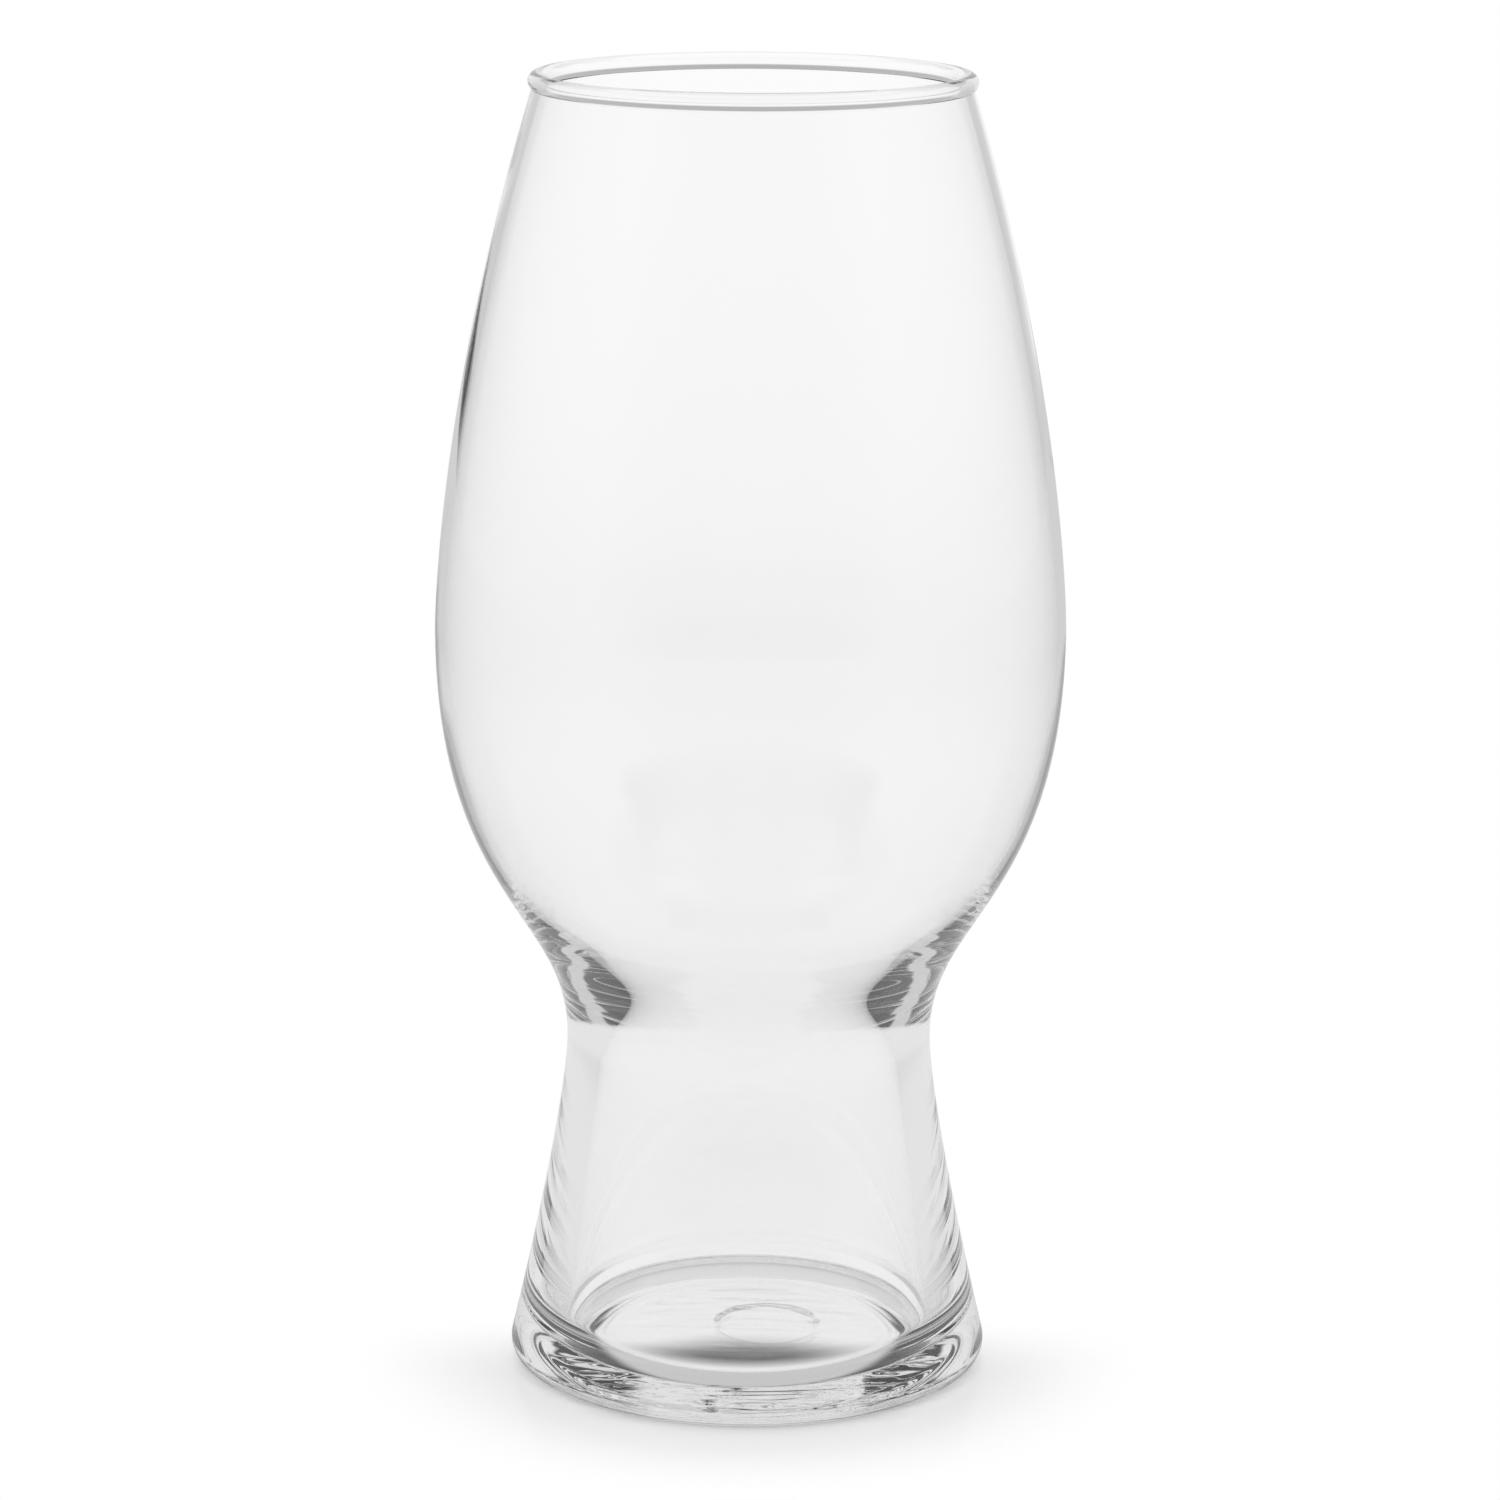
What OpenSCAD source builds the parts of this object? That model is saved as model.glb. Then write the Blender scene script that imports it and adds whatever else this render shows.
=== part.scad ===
// Tulip beer glass of clear glass: a beaded rim, a thin-walled bowl, a thick waist, a hollow flared foot
// that stays open to the bowl, and a base with a rounded heel.
// The wall is one closed section turned about the upright axis. Each piece is one zone of that section,
// and neighbours meet face to face on a level ring all the way round.

/* [Overall] */
// Height from the table to the top of the rim
glass_h = 180; // [168:1:200]

/* [Rim bead] */
// Diameter over the outside of the bead
rim_d = 60.4; // [56:0.1:68]
// Thickness of the fire-polished bead
bead_t = 2.5; // [2:0.1:3.2]
// Width of the wall where it runs into the bead
rim_wall_t = 1.4; // [1:0.1:1.8]
// Inward lean of the wall at the rim, in degrees from upright
rim_lean = 17; // [12:0.5:22]
// Pull of the rim's lean along the upper wall, as a share of that wall's height
rim_pull_share = 0.57; // [0.4:0.01:0.7]

/* [Bowl] */
// Diameter at the widest place, outside
belly_d = 86.4; // [78:0.1:96]
// Height of the widest place
belly_h = 104; // [96:0.5:112]
// Thickness of the wall at the widest place
belly_wall_t = 1.2; // [0.9:0.1:2]
// Fullness of the bowl above its widest place, as a share of the upper wall's height
belly_up_share = 0.06; // [0:0.01:0.2]
// Fullness of the outside below the widest place, as a share of the drop to the waist
belly_down_share = 0.65; // [0.55:0.01:0.75]
// Fullness of the inside below the widest place, as a share of the drop to the bore's neck
bore_belly_share = 0.665; // [0.6:0.005:0.7]

/* [Waist] */
// Diameter at the narrowest place, outside
waist_d = 50.6; // [46:0.1:56]
// Height of the narrowest place, outside
waist_h = 46.5; // [42:0.5:50]
// Thickness of the wall at the narrowest place, where the bore has its neck
waist_wall_t = 5.1; // [4:0.1:6]
// Height of the waist above its narrowest place, up to the bowl
waist_above = 19.5; // [16:0.5:24]
// Height of the waist below its narrowest place, down to the foot
waist_below = 16.5; // [12:0.5:20]
// Length of the outside curve above the narrowest place, as a share of the drop from the belly
waist_up_share = 0.32; // [0.25:0.01:0.4]
// Length of the inside curve above the neck, as a share of the drop from the belly
neck_up_share = 0.27; // [0.22:0.01:0.32]

/* [Foot] */
// Diameter over the heel
heel_d = 66.7; // [62:0.1:72]
// Outward flare of the foot's outside at the heel, in degrees from upright
heel_flare = 13.5; // [8:0.5:18]
// Thickness of the wall from the heel to the bore, measured where the bore meets the floor
foot_wall_t = 6.8; // [6:0.1:8]
// Outward flare of the foot's bore at the floor, in degrees from upright
bore_flare = 8; // [5:0.5:11]
// Length of the outside curve below the waist, as a share of the foot's height
waist_down_share = 0.18; // [0.1:0.01:0.3]
// Length of the inside curve below the neck, as a share of the foot's height
neck_down_share = 0.1; // [0.05:0.01:0.25]
// Length of the straight flare above the heel, as a share of the foot's height
flare_share = 0.33; // [0.25:0.01:0.4]
// Length of the straight flare of the bore above the floor, as a share of its height up to the neck
bore_flare_share = 0.51; // [0.3:0.01:0.6]
// Height at which the foot ends and the base begins
base_top_h = 11; // [10:0.5:16]

/* [Base] */
// Height of the floor inside
floor_h = 2; // [1.6:0.1:3]
// Radius of the rounding between bore and floor
floor_round_r = 6; // [4:0.1:6.6]
// Radius of the rounded heel
heel_round_r = 2.2; // [1.6:0.1:3]
// Width of the flat ring that the glass stands on
bearing_w = 2.6; // [1.6:0.1:4]
// Rise of the hollowed underside at its centre
push_up_h = 0.4; // [0.2:0.1:0.8]
// Diameter of the round mould mark in the floor
mark_d = 16; // [12:0.5:20]
// Depth of the mould mark
mark_depth = 0.3; // [0.2:0.05:0.4]
// Width of the mark's sloping edge
mark_edge_w = 1.2; // [0.6:0.1:2]
// Distance of the mark from the axis, to the right
mark_side = 2.8; // [0:0.1:4]
// Distance of the mark from the axis, to the back
mark_back = 1.5; // [0:0.1:4]

/* [Hidden] */
// Clear glass, and how much of it shows
glass_colour = [0.9, 0.94, 0.95];
glass_alpha = 0.55;
// Segments of each long curve, of each rounding and of a full turn
curve_steps = 24;
round_steps = 10;
turn_facets = 96;
// Overrun of a cut past the face that it opens
overrun = 1;

// The bead's ring, and the level where its round section is as wide as the wall
bead_ring_r = (rim_d - bead_t) / 2;
rim_joint_h = glass_h - (bead_t + sqrt(bead_t * bead_t - rim_wall_t * rim_wall_t)) / 2;

// Levels where the waist meets the bowl and the foot
shoulder_h = waist_h + waist_above;
ankle_h = waist_h - waist_below;

// Stations of the outside, each as radius and height
rim_out = [bead_ring_r + rim_wall_t / 2, rim_joint_h];
belly_out = [belly_d / 2, belly_h];
waist_out = [waist_d / 2, waist_h];
heel_centre = [heel_d / 2 - heel_round_r, heel_round_r];
heel_top = heel_centre + heel_round_r * [cos(heel_flare), sin(heel_flare)];

// Stations of the inside
rim_in = [bead_ring_r - rim_wall_t / 2, rim_joint_h];
belly_in = [belly_d / 2 - belly_wall_t, belly_h];
neck_in = [waist_d / 2 - waist_wall_t, waist_h];
floor_round_reach = floor_round_r * (tan(bore_flare) + 1 / cos(bore_flare));
floor_centre = [heel_d / 2 - foot_wall_t - floor_round_reach, floor_h + floor_round_r];
floor_top = floor_centre + floor_round_r * [cos(bore_flare), sin(bore_flare)];

// Heights that the curves' pulls are shares of
upper_rise = rim_joint_h - belly_h;
belly_drop = belly_h - waist_h;
foot_drop = waist_h - heel_top[1];
bore_foot_drop = waist_h - floor_top[1];

// Radius of the sphere that hollows the underside inside the bearing ring
hollow_r = heel_centre[0] - bearing_w;
hollow_sphere_r = (hollow_r * hollow_r + push_up_h * push_up_h) / (2 * push_up_h);

// Points of a cubic curve between two ends and their two pulls
function curve(from, from_pull, to_pull, to) = [
    for (i = [0 : curve_steps])
        let (t = i / curve_steps, s = 1 - t)
            s * s * s * from + 3 * s * s * t * from_pull + 3 * s * t * t * to_pull + t * t * t * to
];

// Points of a circular arc between two angles
function arc(centre, radius, start, end) = [
    for (i = [0 : round_steps])
        let (a = start + (end - start) * i / round_steps)
            centre + radius * [cos(a), sin(a)]
];

// Points of the hollow underside, from the axis out to the bearing ring
function underside() = [
    for (i = [0 : round_steps])
        let (r = hollow_r * i / round_steps)
            [r, push_up_h - hollow_sphere_r + sqrt(hollow_sphere_r * hollow_sphere_r - r * r)]
];

// A list without its first point, which the stretch before it ends on
function onward(points) = [for (i = [1 : len(points) - 1]) points[i]];

// The outside from the bearing ring up to the bead
function outside() = concat(
    arc(heel_centre, heel_round_r, -90, heel_flare),
    onward(curve(
        heel_top,
        heel_top + flare_share * foot_drop * [-sin(heel_flare), cos(heel_flare)],
        waist_out - [0, waist_down_share * foot_drop],
        waist_out
    )),
    onward(curve(
        waist_out,
        waist_out + [0, waist_up_share * belly_drop],
        belly_out - [0, belly_down_share * belly_drop],
        belly_out
    )),
    onward(curve(
        belly_out,
        belly_out + [0, belly_up_share * upper_rise],
        rim_out + rim_pull_share * upper_rise * [sin(rim_lean), -cos(rim_lean)],
        rim_out
    ))
);

// The inside from the bead down to the middle of the floor
function inside() = concat(
    curve(
        rim_in,
        rim_in + rim_pull_share * upper_rise * [sin(rim_lean), -cos(rim_lean)],
        belly_in + [0, belly_up_share * upper_rise],
        belly_in
    ),
    onward(curve(
        belly_in,
        belly_in - [0, bore_belly_share * belly_drop],
        neck_in + [0, neck_up_share * belly_drop],
        neck_in
    )),
    onward(curve(
        neck_in,
        neck_in - [0, neck_down_share * bore_foot_drop],
        floor_top + bore_flare_share * bore_foot_drop * [-sin(bore_flare), cos(bore_flare)],
        floor_top
    )),
    onward(arc(floor_centre, floor_round_r, bore_flare, -90)),
    [[0, floor_h]]
);

// The whole wall as one closed outline, right of the axis
module glass_section() {
    polygon(concat(underside(), outside(), inside()));
}

// The wall between two levels, turned about the axis
module zone(low, high) {
    rotate_extrude($fn = turn_facets)
        intersection() {
            glass_section();
            translate([0, low]) square([belly_d, high - low]);
        }
}

// The shallow round mark that the mould leaves in the floor, off the axis
module mould_mark() {
    translate([mark_side, mark_back, floor_h - mark_depth])
        cylinder(
            h = mark_depth + overrun,
            d1 = mark_d - 2 * mark_edge_w,
            d2 = mark_d + 2 * mark_edge_w * overrun / mark_depth,
            $fn = turn_facets
        );
}

// Thick bottom with the floor, the rounded heel and the hollowed underside
module base() {
    color(glass_colour, glass_alpha)
        difference() {
            zone(-overrun, base_top_h);
            mould_mark();
        }
}

// Hollow flared wall between the base and the waist
module foot() {
    color(glass_colour, glass_alpha) zone(base_top_h, ankle_h);
}

// Thick neck where the foot opens into the bowl
module waist() {
    color(glass_colour, glass_alpha) zone(ankle_h, shoulder_h);
}

// Thin-walled bowl, widest below its middle and drawn in towards the rim
module bowl() {
    color(glass_colour, glass_alpha) zone(shoulder_h, glass_h);
}

// Round bead that closes the top of the wall
module rim_bead() {
    color(glass_colour, glass_alpha)
        rotate_extrude($fn = turn_facets)
            intersection() {
                translate([bead_ring_r, glass_h - bead_t / 2]) circle(d = bead_t, $fn = turn_facets);
                translate([0, rim_joint_h]) square([rim_d, bead_t]);
            }
}

base();
foot();
waist();
bowl();
rim_bead();
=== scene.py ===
import math

import bmesh
import bpy
from mathutils import Matrix, Vector, noise
from mathutils.geometry import interpolate_bezier


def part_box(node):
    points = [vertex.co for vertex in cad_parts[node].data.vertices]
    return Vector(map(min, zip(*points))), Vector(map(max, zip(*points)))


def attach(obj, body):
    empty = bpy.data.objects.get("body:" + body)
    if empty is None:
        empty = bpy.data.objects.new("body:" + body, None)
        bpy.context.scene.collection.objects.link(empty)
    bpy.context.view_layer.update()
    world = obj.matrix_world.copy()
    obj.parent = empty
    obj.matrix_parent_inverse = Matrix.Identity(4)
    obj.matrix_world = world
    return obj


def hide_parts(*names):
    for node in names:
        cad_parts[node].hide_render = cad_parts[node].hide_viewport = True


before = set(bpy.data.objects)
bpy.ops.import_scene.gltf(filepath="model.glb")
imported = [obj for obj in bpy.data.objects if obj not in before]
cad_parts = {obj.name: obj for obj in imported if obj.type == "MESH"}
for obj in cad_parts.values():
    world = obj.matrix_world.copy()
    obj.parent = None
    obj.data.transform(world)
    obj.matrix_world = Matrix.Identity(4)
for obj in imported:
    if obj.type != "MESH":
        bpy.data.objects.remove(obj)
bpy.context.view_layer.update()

# Base
# The bottom: a flat floor inside, a rounded heel, and a hollowed underside on a flat bearing ring.
# Clear soda-lime glass, pressed while hot, so the chilled floor keeps ripples and a round mould mark.
# It runs on into the foot with no seam that shows.
turn_steps = 192
curve_points = 64
round_points = 20
floor_rings = 70
seam_reach = 1e-6

base_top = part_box("base")[1].z
heel_r = 0.03335
heel_round = 0.0022
heel_flare = math.radians(13.5)
bearing_w = 0.0026
push_up = 0.0004
foot_wall = 0.0068
floor_h = 0.002
floor_round = 0.006
bore_flare = math.radians(8)
waist_r = 0.0253
waist_h = 0.0465
waist_wall = 0.0051
waist_down_share = 0.18
neck_down_share = 0.1
flare_share = 0.33
bore_flare_share = 0.51

mark_r = 0.008
mark_edge = 0.0012
mark_depth = 0.0003
mark_centre = Vector((0.0028, 0.0015))
ripple_height = 0.0001
ripple_size = 0.003
ripple_length = 0.012
calm_share = 0.75

thick_tint = (0.946, 0.947, 0.946, 1)
thin_tint = (0.987, 0.988, 0.987, 1)
thin_edge = (0.03, 0.17)
glass_ior = 1.52
swell_scale = 45
swell_height = 0.001
swell_share = 0.06


def at(radius, height):
    """A point of the section, right of the axis."""
    return Vector((radius, 0, height))


def arc(centre, radius, start, end):
    """Points of a rounding between two angles."""
    turns = [start + (end - start) * i / round_points for i in range(round_points + 1)]
    return [centre + radius * at(math.cos(a), math.sin(a)) for a in turns]


def stretch(points, low, high):
    """The part of a rising or falling line between two heights, cut exactly at both."""
    kept = []
    for p, q in zip(points, points[1:]):
        bottom, top = min(p.z, q.z), max(p.z, q.z)
        if top <= low or bottom >= high:
            continue
        ends = [min(max(h, low), high) for h in (p.z, q.z)]
        cut = [p.lerp(q, (h - p.z) / (q.z - p.z)) for h in ends]
        kept += [c for c in cut if not kept or (c - kept[-1]).length > seam_reach]
    return kept


def turned(name, outline, seams, shape_floor=None):
    """A closed body of revolution from its outline, its level seam faces on a second material slot."""
    shape = bmesh.new()
    points = [shape.verts.new(p) for p in outline]
    lines = [shape.edges.new(pair) for pair in zip(points, points[1:])]
    if outline[0].x > seam_reach:
        lines.append(shape.edges.new((points[-1], points[0])))
    bmesh.ops.spin(
        shape, geom=points + lines, cent=(0, 0, 0), axis=(0, 0, 1),
        angle=math.tau / 8, steps=turn_steps // 8,
    )
    for part in (8, 4, 2):
        twin = bmesh.ops.duplicate(shape, geom=shape.verts[:] + shape.edges[:] + shape.faces[:])["geom"]
        turn = Matrix.Rotation(math.tau / part, 3, "Z")
        bmesh.ops.rotate(shape, verts=[v for v in twin if isinstance(v, bmesh.types.BMVert)], matrix=turn)
    bmesh.ops.remove_doubles(shape, verts=shape.verts, dist=seam_reach)
    bmesh.ops.recalc_face_normals(shape, faces=shape.faces)
    if shape_floor:
        shape_floor(shape)
    rims = {v for v in shape.verts if any(abs(v.co.z - h) < seam_reach for h in seams)}
    for face in {f for v in rims for f in v.link_faces if rims.issuperset(f.verts)}:
        face.material_index = 1
    for edge in {e for v in rims for e in v.link_edges}:
        edge.smooth = len({face.material_index for face in edge.link_faces}) == 1
    mesh = bpy.data.meshes.new(name)
    shape.to_mesh(mesh)
    shape.free()
    mesh.shade_smooth()
    piece = bpy.data.objects.new(name, mesh)
    bpy.context.scene.collection.objects.link(piece)
    mesh.materials.append(clear_glass)
    mesh.materials.append(inner_seam)
    return piece


def ease(low, high, value):
    """0 below low, 1 above high, and a smooth step between."""
    t = min(max((value - low) / (high - low), 0), 1)
    return t * t * (3 - 2 * t)


def chill_floor(shape):
    """Presses the mould mark and the chill ripples into the floor's own vertices."""
    for vert in shape.verts:
        if abs(vert.co.z - floor_h) > seam_reach or vert.co.xy.length > floor_centre.x:
            continue
        place = Vector((vert.co.x, vert.co.y, 0))
        calm = 1 - ease(calm_share * floor_centre.x, floor_centre.x, place.length)
        drawn = Vector((place.x / ripple_length, place.y / ripple_size, 0))
        ripple = noise.fractal(drawn, 1.0, 2.0, 2)
        gap = (place.xy - mark_centre).length
        mark = 1 - ease(mark_r - mark_edge, mark_r, gap)
        vert.co.z += calm * ripple_height * ripple - mark_depth * mark


class Socket:
    """A node's output. Arithmetic on it adds Math nodes, and node() adds any other node to its tree."""

    def __init__(self, socket):
        self.socket = socket

    def node(self, kind, settings=None, inputs=None, output=0):
        tree = self.socket.id_data
        made = tree.nodes.new(kind)
        for name, value in (settings or {}).items():
            if name == "stops":
                ramp = made.color_ramp
                while len(ramp.elements) < len(value):
                    ramp.elements.new(0.5)
                for stop, (place, grey) in zip(ramp.elements, value):
                    stop.position = place
                    stop.color = (grey, grey, grey, 1)
            else:
                setattr(made, name, value)
        for name, value in (inputs or {}).items():
            if isinstance(value, Socket):
                tree.links.new(value.socket, made.inputs[name])
            else:
                made.inputs[name].default_value = value
        return Socket(made.outputs[output])

    def maths(self, operation, first, second):
        return self.node("ShaderNodeMath", {"operation": operation}, {0: first, 1: second})

    def __add__(self, other):
        return self.maths("ADD", self, other)

    def __mul__(self, other):
        return self.maths("MULTIPLY", self, other)

    def __sub__(self, other):
        return self.maths("SUBTRACT", self, other)

    def __rsub__(self, other):
        return self.maths("SUBTRACT", other, self)

    __radd__ = __add__
    __rmul__ = __mul__


def start_material(name):
    """An empty node material: its tree's output node and its object coordinates."""
    look = bpy.data.materials.new(name)
    look.use_nodes = True
    look.node_tree.nodes.clear()
    ending = look.node_tree.nodes.new("ShaderNodeOutputMaterial")
    places = Socket(look.node_tree.nodes.new("ShaderNodeTexCoord").outputs["Object"])
    return look, ending, places


def step(value, edge):
    """0 below an edge, 1 above it, and a smooth step between."""
    return value.node(
        "ShaderNodeMapRange", {"interpolation_type": "SMOOTHSTEP"},
        {"Value": value, "From Min": edge[0], "From Max": edge[1]},
    )


def mix(share, first, second):
    """The first colour at share 0, the second at share 1."""
    return share.node("ShaderNodeMix", {"data_type": "RGBA"}, {0: share, "A": first, "B": second}, "Result")


def make_clear_glass():
    """Clear glass, a shade greyer where it is thick, whose skin waves a little, as drawn glass does."""
    look, ending, places = start_material("clear_glass")
    height = places.node("ShaderNodeSeparateXYZ", None, {0: places}, "Z")
    tint = mix(step(height, thin_edge), thick_tint, thin_tint)
    swell = places.node(
        "ShaderNodeTexNoise", None, {"Vector": places, "Scale": swell_scale, "Detail": 1}, "Fac",
    )
    bump = places.node(
        "ShaderNodeBump", None,
        {"Height": swell, "Strength": swell_share, "Distance": swell_height}, "Normal",
    )
    glass = places.node(
        "ShaderNodeBsdfPrincipled", None, {
            "Base Color": tint, "Roughness": 0.0, "IOR": glass_ior,
            "Transmission Weight": 1.0, "Normal": bump,
        },
    )
    look.node_tree.links.new(glass.socket, ending.inputs["Surface"])
    return look


def make_inner_seam():
    """The level faces inside the glass, where one zone runs into the next: nothing shows there."""
    look, ending, places = start_material("inner_seam")
    unseen = places.node("ShaderNodeBsdfPrincipled", None, {"Alpha": 0.0})
    look.node_tree.links.new(unseen.socket, ending.inputs["Surface"])
    return look


clear_glass = make_clear_glass()
inner_seam = make_inner_seam()

heel_centre = at(heel_r - heel_round, heel_round)
heel_top = heel_centre + heel_round * at(math.cos(heel_flare), math.sin(heel_flare))
waist_out = at(waist_r, waist_h)
foot_rise = waist_h - heel_top.z
foot_outside = interpolate_bezier(
    heel_top,
    heel_top + flare_share * foot_rise * at(-math.sin(heel_flare), math.cos(heel_flare)),
    waist_out - at(0, waist_down_share * foot_rise),
    waist_out,
    curve_points,
)

floor_round_reach = floor_round * (math.tan(bore_flare) + 1 / math.cos(bore_flare))
floor_centre = at(heel_r - foot_wall - floor_round_reach, floor_h + floor_round)
floor_top = floor_centre + floor_round * at(math.cos(bore_flare), math.sin(bore_flare))
neck_in = at(waist_r - waist_wall, waist_h)
bore_rise = waist_h - floor_top.z
foot_inside = interpolate_bezier(
    floor_top,
    floor_top + bore_flare_share * bore_rise * at(-math.sin(bore_flare), math.cos(bore_flare)),
    neck_in - at(0, neck_down_share * bore_rise),
    neck_in,
    curve_points,
)

hollow_r = heel_centre.x - bearing_w
sphere_r = (hollow_r ** 2 + push_up ** 2) / (2 * push_up)
hollow_places = [hollow_r * i / floor_rings for i in range(floor_rings + 1)]
underside = [at(r, push_up - sphere_r + math.sqrt(sphere_r ** 2 - r ** 2)) for r in hollow_places]
floor_places = [floor_centre.x * i / floor_rings for i in range(floor_rings)]

base = turned(
    "base",
    underside
    + arc(heel_centre, heel_round, -math.pi / 2, heel_flare)
    + stretch(foot_outside, heel_top.z, base_top)[1:]
    + stretch(foot_inside, floor_top.z, base_top)[::-1]
    + arc(floor_centre, floor_round, bore_flare, -math.pi / 2)[1:]
    + [at(r, floor_h) for r in reversed(floor_places)],
    [base_top],
    chill_floor,
)
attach(base, "root")
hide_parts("base")

# Foot
# The hollow flared wall above the base, thick and open inside.
# The same clear glass, drawn straight up from the base and joined to it all round.
ankle_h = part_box("foot")[1].z

foot = turned(
    "foot",
    stretch(foot_outside, base_top, ankle_h) + stretch(foot_inside, base_top, ankle_h)[::-1],
    [base_top, ankle_h],
)
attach(foot, "root")
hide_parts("foot")

# Waist
# The thick neck where the bore is narrowest and the foot opens into the bowl.
# The same clear glass, drawn in while hot; its wall thins quickly towards the bowl.
shoulder_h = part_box("waist")[1].z
belly_r = 0.0432
belly_h = 0.104
belly_wall = 0.0012
waist_up_share = 0.32
neck_up_share = 0.27
belly_down_share = 0.65
bore_belly_share = 0.665

belly_out = at(belly_r, belly_h)
belly_in = at(belly_r - belly_wall, belly_h)
belly_rise = belly_h - waist_h
shoulder_outside = interpolate_bezier(
    waist_out,
    waist_out + at(0, waist_up_share * belly_rise),
    belly_out - at(0, belly_down_share * belly_rise),
    belly_out,
    curve_points,
)
shoulder_inside = interpolate_bezier(
    neck_in,
    neck_in + at(0, neck_up_share * belly_rise),
    belly_in - at(0, bore_belly_share * belly_rise),
    belly_in,
    curve_points,
)

waist = turned(
    "waist",
    stretch(foot_outside, ankle_h, waist_h)
    + stretch(shoulder_outside, waist_h, shoulder_h)[1:]
    + stretch(shoulder_inside, waist_h, shoulder_h)[::-1]
    + stretch(foot_inside, ankle_h, waist_h)[::-1][1:],
    [ankle_h, shoulder_h],
)
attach(waist, "root")
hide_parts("waist")

# Bowl
# The thin wall that is widest below its middle and is drawn in towards the mouth.
# The same clear glass, blown, and joined to the waist all round.
rim_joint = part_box("bowl")[1].z
glass_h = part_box("rim_bead")[1].z
rim_r = 0.0302
bead_t = 0.0025
rim_wall = 0.0014
rim_lean = math.radians(17)
rim_pull_share = 0.57
belly_up_share = 0.06

bead_ring_r = rim_r - bead_t / 2
upper_rise = rim_joint - belly_h
rim_pull = rim_pull_share * upper_rise * at(math.sin(rim_lean), -math.cos(rim_lean))
belly_pull = at(0, belly_up_share * upper_rise)
rim_out = at(bead_ring_r + rim_wall / 2, rim_joint)
rim_in = at(bead_ring_r - rim_wall / 2, rim_joint)
upper_outside = interpolate_bezier(
    belly_out, belly_out + belly_pull, rim_out + rim_pull, rim_out, curve_points,
)
upper_inside = interpolate_bezier(
    belly_in, belly_in + belly_pull, rim_in + rim_pull, rim_in, curve_points,
)

bowl = turned(
    "bowl",
    stretch(shoulder_outside, shoulder_h, belly_h)
    + upper_outside[1:]
    + upper_inside[::-1]
    + stretch(shoulder_inside, shoulder_h, belly_h)[::-1][1:],
    [shoulder_h, rim_joint],
)
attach(bowl, "root")
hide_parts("bowl")

# Rim bead
# The round bead that closes the top of the wall, a little proud of it on both sides.
# The same clear glass, melted smooth by a flame after the rim was cut.
bead_centre = at(bead_ring_r, glass_h - bead_t / 2)
bead_foot = math.asin((bead_centre.z - rim_joint) / (bead_t / 2))

rim_bead = turned(
    "rim_bead",
    arc(bead_centre, bead_t / 2, -bead_foot, math.pi + bead_foot),
    [rim_joint],
)
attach(rim_bead, "root")
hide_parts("rim_bead")

# Floor
# A plain white table top with a soft gloss. It keeps the contact shadow, and is plain white further out.
# A painted soft shade lies under the glass's front. In reflections the table is painted greyer, dark
# beneath.
floor_r = 1.2
table_colour = (0.94, 0.94, 0.94, 1)
table_roughness = 0.18
table_ior = 1.45
table_sheen = 0.3
covered_edge = (0.0262, 0.0285)
fade_edge = (0.034, 0.058)
front_edge = (-0.012, 0.012)
shadow_share = 0.75
# The painted shade: a dark ellipse in the table's white glow, under the front of the glass.
shade_place = Vector((0, -0.0105, 0))
shade_size = Vector((0.0165, 0.0085, 1))
shade_edge = (0.3, 1.3)
painted_shade_level = (0.08, 0.08, 0.08, 1)
white_level = (1, 1, 1, 1)
# Painted greys for the table in reflections, and a painted dark shade under the glass seen there.
mirrored_reach = 0.6
mirrored_painted_greys = [(0.0, 0.55), (0.052, 0.6), (0.12, 0.82), (0.4, 0.8), (0.8, 0.64)]
deep_shade_edge = (0.016, 0.02)
deep_shade_side = (0.006, 0.01)
deep_shade_reach = (0.032, 0.036)
painted_deep_shade_level = (0.1, 0.1, 0.1, 1)
deep_shade_passes = (2.4, 2.6)


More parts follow.
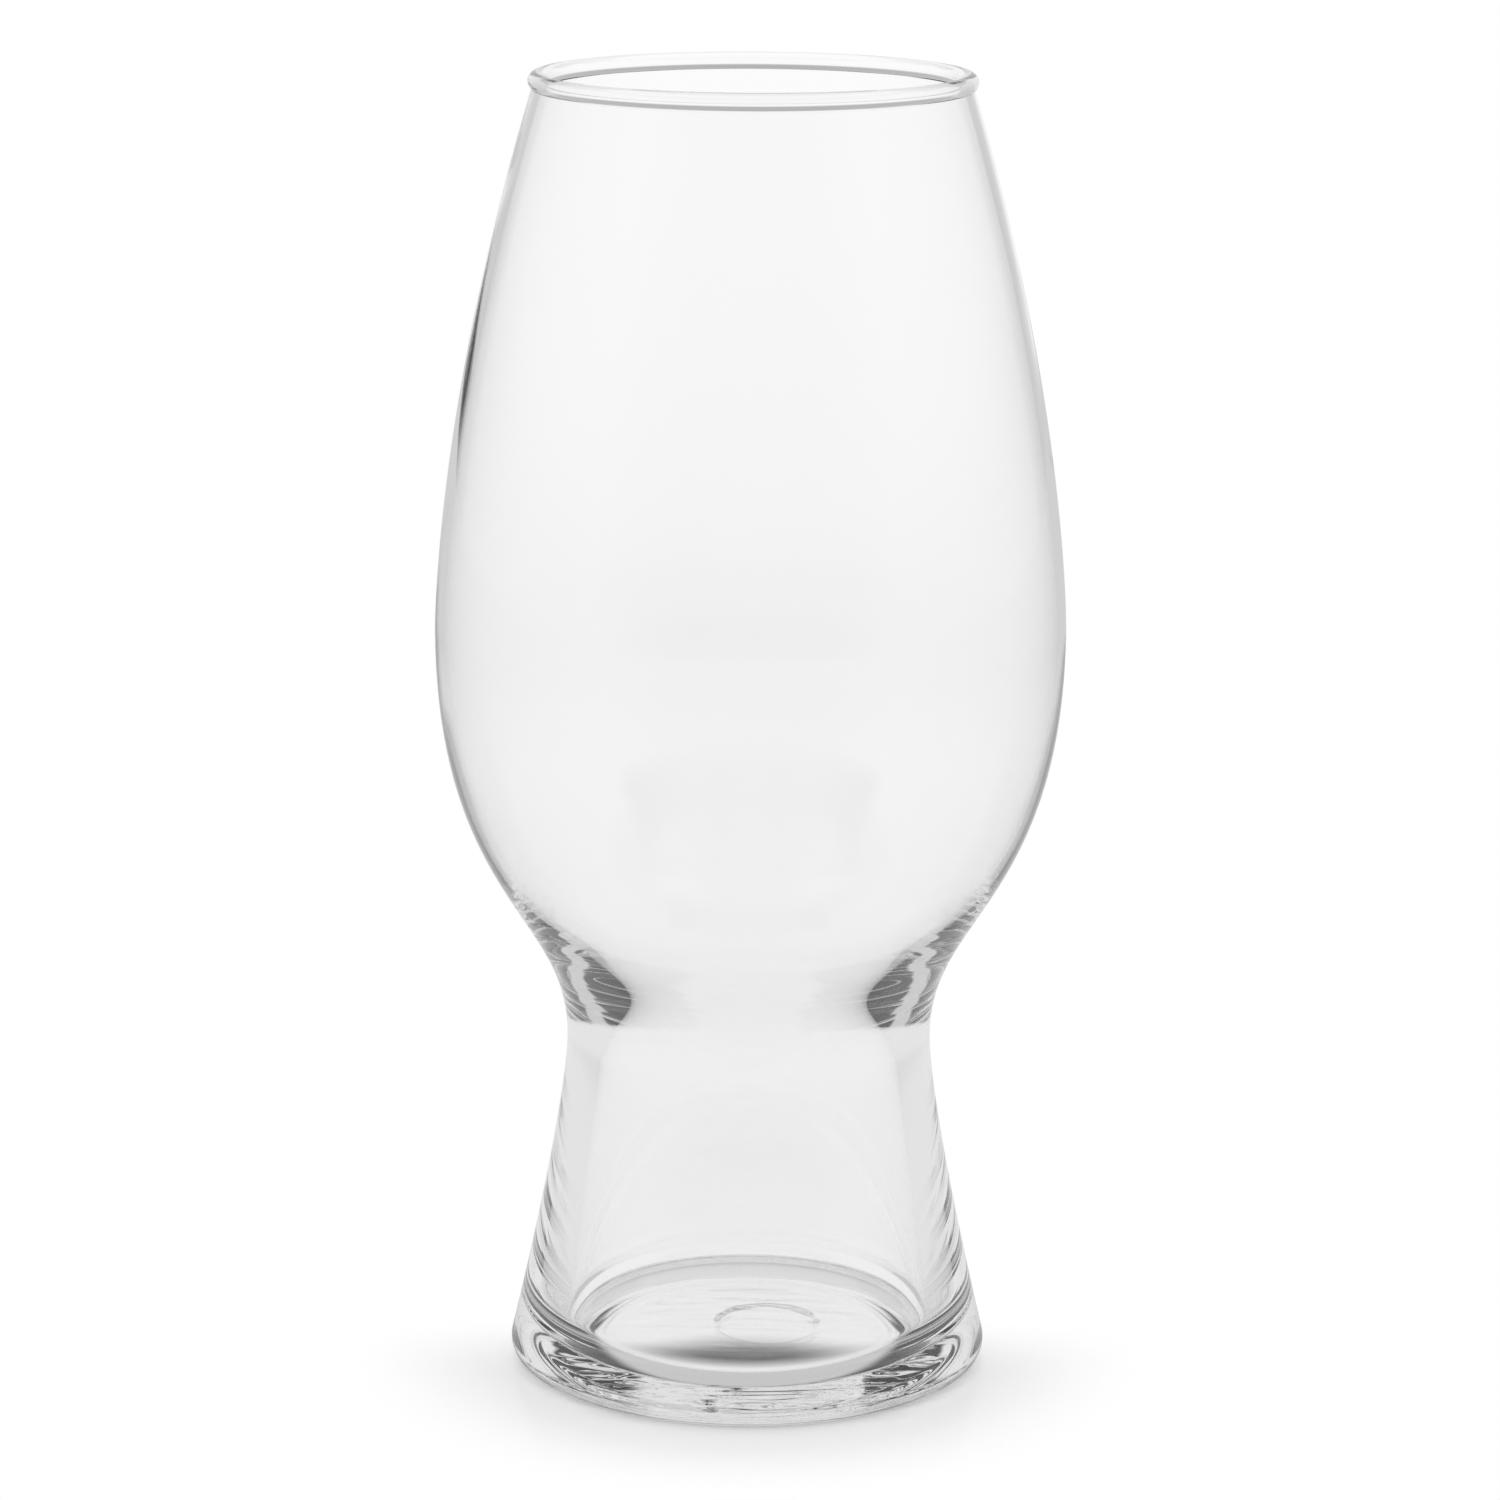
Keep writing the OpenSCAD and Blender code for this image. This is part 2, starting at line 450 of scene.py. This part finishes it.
def make_table_top():
    """White as lit round the glass, plain white further out, with painted shade under it and in
    reflections.
    """
    look, ending, places = start_material("table_top")
    away = places.node("ShaderNodeVectorMath", {"operation": "LENGTH"}, {0: places}, "Value")
    across = places.node("ShaderNodeSeparateXYZ", None, {0: places}, "X")
    along = Socket(across.socket.node.outputs["Y"])
    moved = places.node(
        "ShaderNodeVectorMath", {"operation": "SUBTRACT"}, {0: places, 1: shade_place}, "Vector",
    )
    sized = places.node(
        "ShaderNodeVectorMath", {"operation": "DIVIDE"}, {0: moved, 1: shade_size}, "Vector",
    )
    apart = places.node("ShaderNodeVectorMath", {"operation": "LENGTH"}, {0: sized}, "Value")
    # Painted shade: the white glow darkens inside the ellipse under the front of the glass.
    clear = step(apart, shade_edge)
    lit = places.node(
        "ShaderNodeBsdfPrincipled", None, {
            "Base Color": table_colour, "Roughness": table_roughness,
            "IOR": table_ior, "Specular IOR Level": table_sheen,
        },
    )
    plain = places.node(
        "ShaderNodeEmission", None, {"Color": mix(clear, painted_shade_level, white_level), "Strength": 1.0},
    )
    ring = step(away, covered_edge) * (1 - step(away, fade_edge))
    shadow = shadow_share * ring * step(0 - along, front_edge)
    near = places.node("ShaderNodeMixShader", None, {0: shadow, 1: plain, 2: lit})
    # In reflections the table glows in painted greys by its distance from the glass.
    grey = places.node(
        "ShaderNodeValToRGB", {"stops": mirrored_painted_greys}, {"Fac": away * (1 / mirrored_reach)}, "Color",
    )
    # A painted dark shade under the glass, only in reflections, open at the back middle and in front.
    back_middle = step(along, deep_shade_edge) * (1 - step(across.maths("ABSOLUTE", across, 0), deep_shade_side))
    front = step(0 - along, deep_shade_edge)
    mirrored = places.node("ShaderNodeLightPath", None, None, "Glossy Depth")
    passed = Socket(mirrored.socket.node.outputs["Transmission Depth"])
    painted_deep_shade = (1 - step(away, deep_shade_reach)) * (1 - back_middle) * (1 - front) * (1 - step(passed, deep_shade_passes))
    painted_mirror_shade = places.node(
        "ShaderNodeEmission", None, {"Color": mix(painted_deep_shade, grey, painted_deep_shade_level), "Strength": 1.0},
    )
    in_mirror = mirrored.maths("MINIMUM", mirrored, 1)
    seen = places.node("ShaderNodeMixShader", None, {0: in_mirror, 1: near, 2: painted_mirror_shade})
    look.node_tree.links.new(seen.socket, ending.inputs["Surface"])
    return look


table_shape = bmesh.new()
bmesh.ops.create_circle(table_shape, cap_ends=True, radius=floor_r, segments=96)
table_mesh = bpy.data.meshes.new("table_top")
table_shape.to_mesh(table_mesh)
table_shape.free()
table_top = bpy.data.objects.new("table_top", table_mesh)
bpy.context.scene.collection.objects.link(table_top)
table_mesh.materials.append(make_table_top())

# Studio light
# A white room, seen straight or through the glass, with a greyer ceiling for rays that it bends upwards.
# Reflections show white screens round the table with a dark flag on each side at the back, a dark gap above
# and a wide soft light overhead. A dark card stands low behind the glass, to the left.
flag_from = (0.70, 0.74)
flag_to = (0.94, 0.97)
side_to = (0.34, 0.45)
front_from = (0.45, 0.95)
screen_levels = [(0.0, 0.7), (0.1, 0.8), (0.48, 0.85), (0.51, 0.03), (0.72, 0.03), (0.77, 1.0)]
flag_levels = [(0.0, 0.6), (0.12, 0.7), (0.29, 0.75), (0.32, 0.03), (0.72, 0.03), (0.77, 1.0)]
side_levels = [(0.0, 0.7), (0.1, 0.8), (0.6, 0.85), (0.65, 0.4), (0.72, 0.4), (0.77, 1.0)]
front_levels = [(0.0, 0.45), (0.1, 0.6), (0.45, 0.65), (0.6, 0.35), (0.75, 0.35), (0.92, 0.9)]
back_levels = [(0.0, 0.9), (0.3, 0.8), (0.44, 0.8), (0.53, 0.4), (0.58, 0.4), (0.67, 0.75), (0.9, 0.85)]
card_back = (0.0, 0.01)
card_from = (0.22, 0.26)
card_to = (0.42, 0.46)
card_low = (-0.3, -0.26)
card_high = (-0.076, -0.066)
card_level = (0.05, 0.05, 0.05, 1)
bent_levels = [(0.0, 1.0), (0.12, 1.0), (0.25, 0.45)]
open_level = (1, 1, 1, 1)
open_light = 1.14

world = bpy.data.worlds.new("studio")
bpy.context.scene.world = world
world.use_nodes = True
world.node_tree.nodes.clear()
sky_end = world.node_tree.nodes.new("ShaderNodeOutputWorld")
way = Socket(world.node_tree.nodes.new("ShaderNodeTexCoord").outputs["Generated"])
rise = way.node("ShaderNodeSeparateXYZ", None, {0: way}, "Z")
along = Socket(rise.socket.node.outputs["Y"])
across = Socket(rise.socket.node.outputs["X"])
spread = 1 - rise * rise
flat = spread.maths("SQRT", spread, 0)
behind = along.maths("DIVIDE", along, flat)
leftward = 0 - across.maths("DIVIDE", across, flat)


def by_height(levels):
    """A grey that changes with the height above the horizon."""
    return rise.node("ShaderNodeValToRGB", {"stops": levels}, {"Fac": rise}, "Color")


flag = step(behind, flag_from) * (1 - step(behind, flag_to))
beside = 1 - step(behind.maths("ABSOLUTE", behind, 0), side_to)
room = mix(flag, mix(beside, by_height(screen_levels), by_height(side_levels)), by_height(flag_levels))
room = mix(step(behind, flag_to), room, by_height(back_levels))
room = mix(step(0 - behind, front_from), room, by_height(front_levels))
card = step(behind, card_back) * step(leftward, card_from) * (1 - step(leftward, card_to))
card = card * step(rise, card_low) * (1 - step(rise, card_high))
room = mix(card, room, card_level)
mirrored = way.node("ShaderNodeLightPath", None, None, "Glossy Depth")
scattered = Socket(mirrored.socket.node.outputs["Is Diffuse Ray"])
passed = Socket(mirrored.socket.node.outputs["Transmission Depth"])
bounced = Socket(mirrored.socket.node.outputs["Diffuse Depth"])
bent = passed.maths("MINIMUM", passed, 1) * (1 - bounced.maths("MINIMUM", bounced, 1))
straight = mix(bent, open_level, by_height(bent_levels))
colour = mix(mirrored.maths("MINIMUM", mirrored, 1), straight, room)
strength = 1 + (open_light - 1) * scattered
sky = colour.node("ShaderNodeBackground", None, {"Color": colour, "Strength": strength})
world.node_tree.links.new(sky.socket, sky_end.inputs["Surface"])

# Camera
# It stands in front of the glass at the photograph's height and distance, with its slight roll.
# Bounces are raised, because light crosses many faces of clear glass.
camera_data = bpy.data.cameras.new("camera")
camera_data.sensor_width = 36
camera_data.lens = 118.5
camera = bpy.data.objects.new("camera", camera_data)
bpy.context.scene.collection.objects.link(camera)
camera_place = Vector((0, -0.6629, 0.2429))
camera_aim = Vector((0, 0, 0.08685))
camera_roll = math.radians(0.28)
facing = (camera_aim - camera_place).to_track_quat("-Z", "Y")
camera.matrix_world = (
    Matrix.Translation(camera_place) @ facing.to_matrix().to_4x4() @ Matrix.Rotation(camera_roll, 4, "Z")
)
bpy.context.scene.camera = camera

bpy.context.scene.view_settings.view_transform = "Standard"
bpy.context.scene.cycles.max_bounces = 48
bpy.context.scene.cycles.transmission_bounces = 48
bpy.context.scene.cycles.glossy_bounces = 32
bpy.context.scene.cycles.transparent_max_bounces = 32
